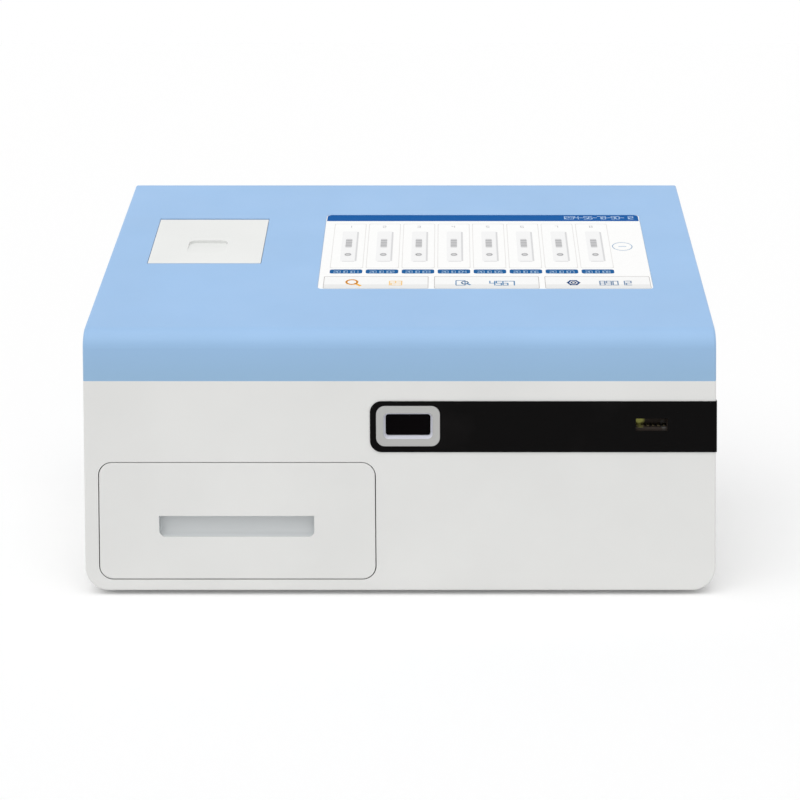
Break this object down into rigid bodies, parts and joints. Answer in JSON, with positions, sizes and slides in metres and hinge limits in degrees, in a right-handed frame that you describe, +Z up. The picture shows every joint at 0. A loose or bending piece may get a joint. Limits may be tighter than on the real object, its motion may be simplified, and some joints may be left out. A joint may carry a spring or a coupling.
{
  "type": "rapid test reader",
  "caption": "Bench-top rapid test reader: a wedge case with a sloping touch display, receipt printer lid, black band with card inlet, and a waste drawer below a card carousel.",
  "frame": {"origin": "middle of the case on the standing surface", "axes": "+Z up, +X to the right as seen from the front, +Y to the back"},
  "size_m": [0.4076, 0.244, 0.2365],
  "materials": {
    "housing_grey": "fine texture",
    "cover_blue": "fine texture",
    "door_white": "satin",
    "gloss_black": "gloss",
    "bezel_grey": "satin",
    "screen_glass": "gloss",
    "dark_plastic": "satin",
    "white_plastic": "satin",
    "inner_grey": "satin",
    "board_green": "satin",
    "sheet_steel": "satin",
    "bright_steel": "polished",
    "warm_plate": "satin",
    "contact_gold": "polished",
    "roller_rubber": "matte",
    "paper": "matte",
    "lens_glass": "gloss",
    "magnet_black": "matte"
  },
  "bodies": {
    "case": {"base_housing": "housing_grey", "top_cover": "cover_blue", "rear_panel": "sheet_steel", "case_screws": "bright_steel", "rubber_feet": "roller_rubber", "front_band": "gloss_black", "inlet_bezel": "bezel_grey", "flap_pin": "bright_steel", "card_guide": "white_plastic", "chip_socket": "dark_plastic", "chip_contacts": "contact_gold", "drawer_runners": "inner_grey", "drawer_magnet": "magnet_black", "deck_plate": "sheet_steel", "deck_posts": "bright_steel", "deck_screws": "bright_steel", "incubator_plate": "warm_plate", "plate_spacers": "bright_steel", "shaft_bearings": "contact_gold", "carousel_motor": "sheet_steel", "drive_belt": "roller_rubber", "shutter_guides": "white_plastic", "gate_solenoid": "dark_plastic", "scan_bridge": "sheet_steel", "guide_rods": "bright_steel", "scan_motor": "sheet_steel", "display_glass": "screen_glass", "lcd_panel": "dark_plastic", "display_bracket": "sheet_steel", "lid_hinge_pin": "bright_steel", "printer_frame": "inner_grey", "paper_spindle": "inner_grey", "print_head": "dark_plastic", "main_board": "board_green", "power_supply": "sheet_steel", "power_inlet": "dark_plastic", "inlet_pins": "contact_gold", "switch_frame": "dark_plastic", "io_board": "board_green", "data_ports": "sheet_steel", "fan_frame": "dark_plastic"},
    "drawer": {"drawer_front": "door_white", "waste_bin": "inner_grey", "drawer_screws": "bright_steel", "strike_plate": "sheet_steel"},
    "lid": {"printer_lid": "door_white"},
    "platen": {"platen_roller": "roller_rubber", "platen_shaft": "bright_steel"},
    "roll": {"paper_roll": "paper"},
    "flap": {"inlet_flap": "dark_plastic"},
    "carousel_wheel": {"carousel": "white_plastic", "carousel_shaft": "bright_steel", "carousel_pulley": "white_plastic"},
    "motor_pulley": {"motor_pulley": "bright_steel"},
    "shutter": {"waste_shutter": "white_plastic"},
    "scan_head": {"optical_head": "dark_plastic", "head_lens": "lens_glass"},
    "scan_screw": {"leadscrew": "bright_steel"},
    "rocker": {"power_rocker": "dark_plastic"},
    "rotor": {"fan_rotor": "dark_plastic"}
  },
  "joints": [
    {"name": "drawer_slide", "type": "slide", "parent": "case", "child": "drawer", "axis": [0, -1, 0], "range_m": [0, 0.15]},
    {"name": "lid_hinge", "type": "hinge", "parent": "case", "child": "lid", "pos_m": [-0.134, 0.05512, 0.21792], "axis": [-1, 0, 0], "range_deg": [0, 95]},
    {"name": "platen_spin", "type": "hinge", "parent": "lid", "child": "platen", "pos_m": [-0.134, -0.00462, 0.19052], "axis": [1, 0, 0], "continuous": true},
    {"name": "roll_spin", "type": "hinge", "parent": "case", "child": "roll", "pos_m": [-0.134, 0.03015, 0.18825], "axis": [1, 0, 0], "continuous": true},
    {"name": "flap_hinge", "type": "hinge", "parent": "case", "child": "flap", "pos_m": [0.0052, -0.1148, 0.1221], "axis": [1, 0, 0], "range_deg": [0, 80], "stiffness_Nm_per_rad": 0.003},
    {"name": "carousel_spin", "type": "hinge", "parent": "case", "child": "carousel_wheel", "pos_m": [0.0052, 0.01, 0.1], "axis": [0, 0, 1], "continuous": true},
    {"name": "motor_pulley_spin", "type": "hinge", "parent": "case", "child": "motor_pulley", "pos_m": [0.0652, 0.01, 0.098], "axis": [0, 0, 1], "continuous": true},
    {"name": "shutter_slide", "type": "slide", "parent": "case", "child": "shutter", "axis": [0, -1, 0], "range_m": [0, 0.028]},
    {"name": "scan_slide", "type": "slide", "parent": "case", "child": "scan_head", "axis": [1, 0, 0], "range_m": [0, 0.04]},
    {"name": "leadscrew_spin", "type": "hinge", "parent": "case", "child": "scan_screw", "pos_m": [0.075, 0.01, 0.1341], "axis": [1, 0, 0], "range_deg": [0, 2880]},
    {"name": "rocker_tip", "type": "hinge", "parent": "case", "child": "rocker", "pos_m": [0.096, 0.1166, 0.0555], "axis": [-1, 0, 0], "range_deg": [0, 16]},
    {"name": "fan_spin", "type": "hinge", "parent": "case", "child": "rotor", "pos_m": [0.045, 0.111, 0.0555], "axis": [0, 1, 0], "continuous": true}
  ],
  "couplings": [
    {"joint": "motor_pulley_spin", "follows": "carousel_spin", "ratio": 2},
    {"joint": "leadscrew_spin", "follows": "scan_slide", "rad_per_m": 1256.6},
    {"joint": "platen_spin", "follows": "roll_spin", "ratio": 3.8}
  ]
}
